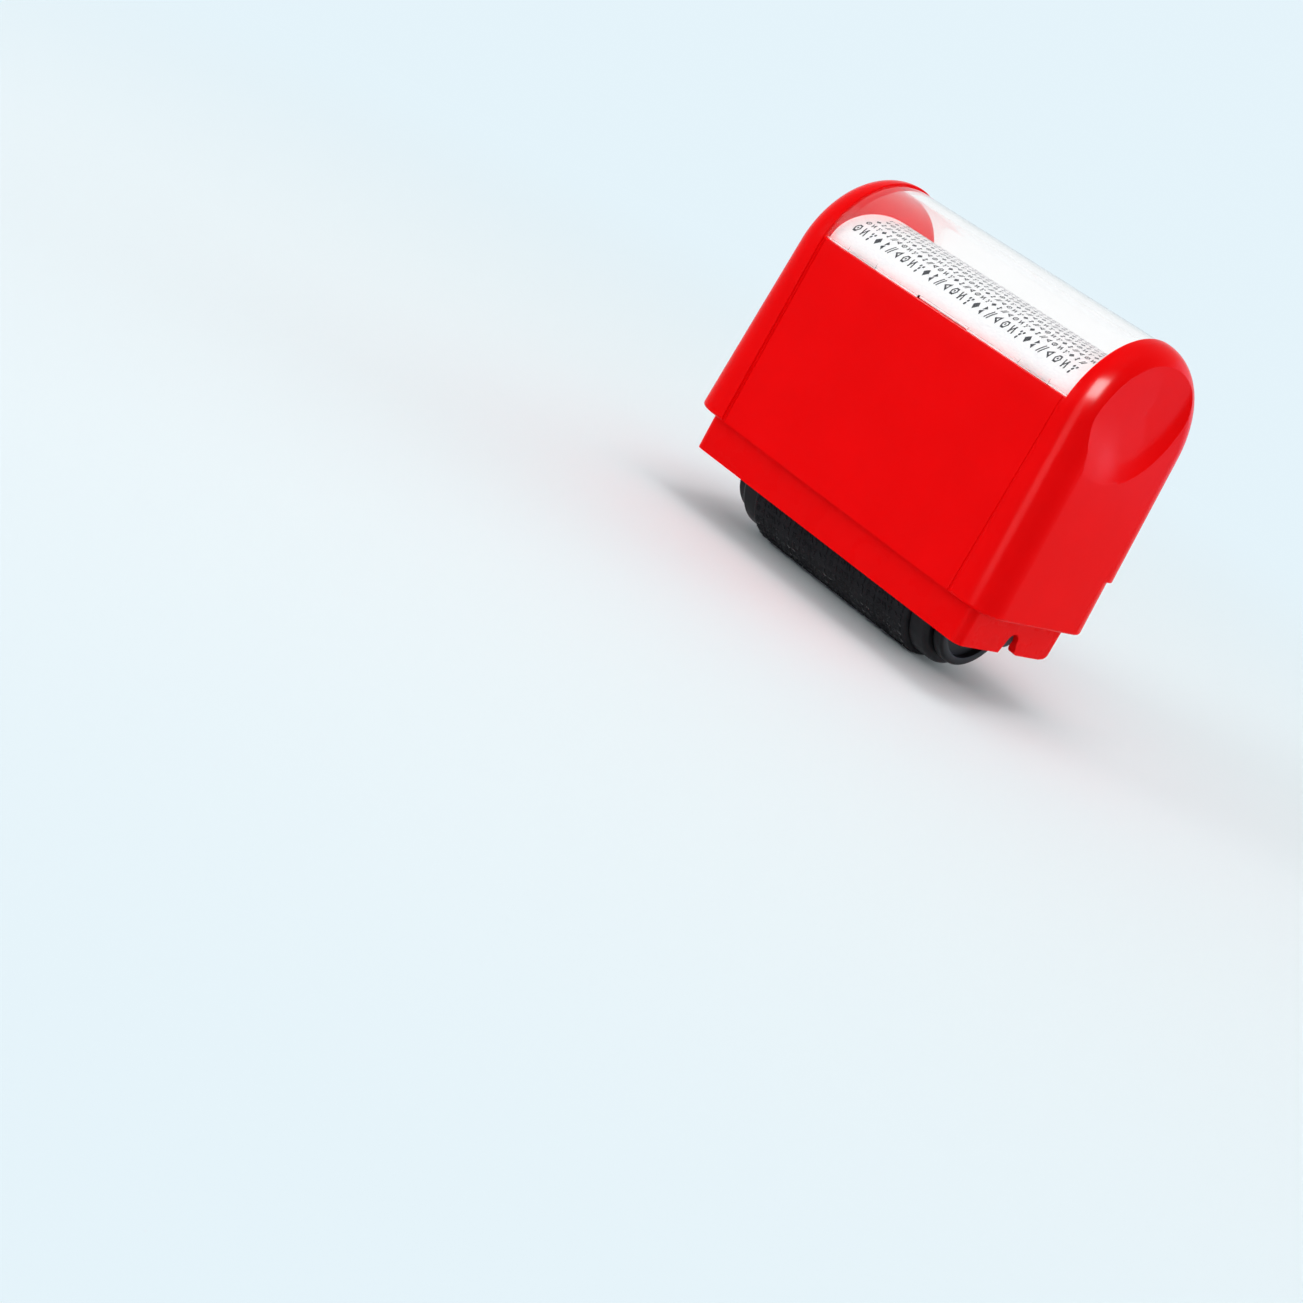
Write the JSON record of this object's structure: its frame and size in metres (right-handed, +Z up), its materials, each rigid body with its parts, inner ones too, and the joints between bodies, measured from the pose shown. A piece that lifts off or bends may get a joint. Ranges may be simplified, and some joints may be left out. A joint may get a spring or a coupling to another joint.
{
  "type": "privacy roller stamp",
  "caption": "Self-inking roller stamp: domed red housing with a clear label window, a slide-in roller frame, and a patterned printing roller fed by a felt inking roller.",
  "frame": {"origin": "on the paper under the middle of the printing roller, at the bottom of the part", "axes": "+X along the rollers to the right-hand end, -Y to the front (the side whose panel reads as the face in the picture), +Z up through the window"},
  "size_m": [0.065, 0.0304, 0.058],
  "materials": {
    "red_shell": "polished moulding",
    "clear_plastic": "clear",
    "label_paper": "printed in dark grey",
    "red_frame": "satin moulding",
    "black_rubber": "matt, inked",
    "black_plastic": "satin",
    "white_plastic": "plain",
    "inked_felt": "soaked with black ink",
    "steel": "ground"
  },
  "bodies": {
    "housing": {"outer_shell": "red_shell", "print_label": "label_paper"},
    "window": {"clear_window": "clear_plastic"},
    "roller_cartridge": {"roller_frame": "red_frame", "frame_cover": "red_frame", "stamp_bush_left": "black_plastic", "stamp_bush_right": "black_plastic", "ink_bush_left": "white_plastic", "ink_bush_right": "white_plastic"},
    "stamp_roller": {"stamp_sleeve": "black_rubber", "stamp_core": "black_plastic", "stamp_end_cap_left": "black_plastic", "stamp_end_cap_right": "black_plastic", "stamp_axle": "steel", "stamp_collar_left": "black_plastic", "stamp_collar_right": "black_plastic"},
    "ink_roller": {"ink_felt": "inked_felt", "ink_core": "white_plastic", "ink_end_cap_left": "white_plastic", "ink_end_cap_right": "white_plastic", "ink_axle": "steel"}
  },
  "joints": [
    {"name": "frame_slide", "type": "slide", "parent": "housing", "child": "roller_cartridge", "axis": [0, 0, -1], "range_m": [0, 0.03]},
    {"name": "window_lift", "type": "slide", "parent": "housing", "child": "window", "axis": [0, 0, 1], "range_m": [0, 0.015]},
    {"name": "stamp_spin", "type": "hinge", "parent": "roller_cartridge", "child": "stamp_roller", "pos_m": [0, 0, 0.01], "axis": [1, 0, 0], "continuous": true},
    {"name": "ink_spin", "type": "hinge", "parent": "roller_cartridge", "child": "ink_roller", "pos_m": [0, 0, 0.0282], "axis": [1, 0, 0], "continuous": true}
  ],
  "couplings": [
    {"joint": "ink_spin", "follows": "stamp_spin", "ratio": -1.25}
  ]
}
